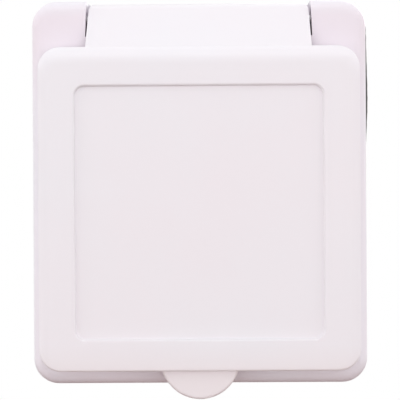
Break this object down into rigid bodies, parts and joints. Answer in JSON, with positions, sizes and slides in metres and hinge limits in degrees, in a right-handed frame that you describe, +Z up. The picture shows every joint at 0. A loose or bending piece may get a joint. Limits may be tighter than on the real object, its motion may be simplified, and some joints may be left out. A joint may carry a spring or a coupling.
{
  "type": "locking power inlet",
  "caption": "Square flush-mounted locking power inlet with a hinged sprung lid, recessed lid panel, round thumb tab, socket well and cable gland behind the wall.",
  "frame": {"origin": "socket axis where it meets the wall, at the rear face of the wall gasket", "axes": "+X to the right, +Z up towards the hinge, +Y along the socket axis into the wall"},
  "size_m": [0.106, 0.0981, 0.1243],
  "materials": {
    "housing_plastic": "satin white moulded plastic",
    "lid_plastic": "satin white moulded plastic",
    "seal_rubber": "black seal rubber",
    "gasket_rubber": "black foam rubber",
    "stainless": "stainless steel",
    "spring_steel": "stainless spring wire",
    "carrier_plastic": "black thermoset",
    "blade_brass": "bright brass",
    "neutral_plate": "nickel plated brass",
    "zinc_steel": "zinc plated steel",
    "ground_screw_green": "green terminal screw",
    "cover_plastic": "black moulded plastic",
    "nut_plastic": "black moulded plastic"
  },
  "bodies": {
    "housing": {"flange_housing": "housing_plastic", "hinge_pin": "stainless", "lid_spring": "spring_steel", "panel_gasket": "gasket_rubber", "blade_carrier": "carrier_plastic", "line_blade": "blade_brass", "neutral_blade": "neutral_plate", "ground_blade": "blade_brass", "line_terminal_screw": "blade_brass", "neutral_terminal_screw": "zinc_steel", "ground_terminal_screw": "ground_screw_green", "line_clamp_plate": "zinc_steel", "neutral_clamp_plate": "zinc_steel", "ground_clamp_plate": "zinc_steel", "cover_gasket": "seal_rubber", "rear_cover": "cover_plastic", "rear_cover_screws": "stainless", "gland_seal": "seal_rubber", "gland_washer": "zinc_steel", "gland_nut": "nut_plastic"},
    "lid": {"lid": "lid_plastic", "lid_seal": "seal_rubber"}
  },
  "joints": [
    {"name": "lid_hinge", "type": "hinge", "parent": "housing", "child": "lid", "pos_m": [0, -0.0098, 0.0595], "axis": [-1, 0, 0], "range_deg": [0, 115], "stiffness_Nm_per_rad": 0.02, "springref_deg": -85.94, "deforming": ["lid_spring"]}
  ]
}
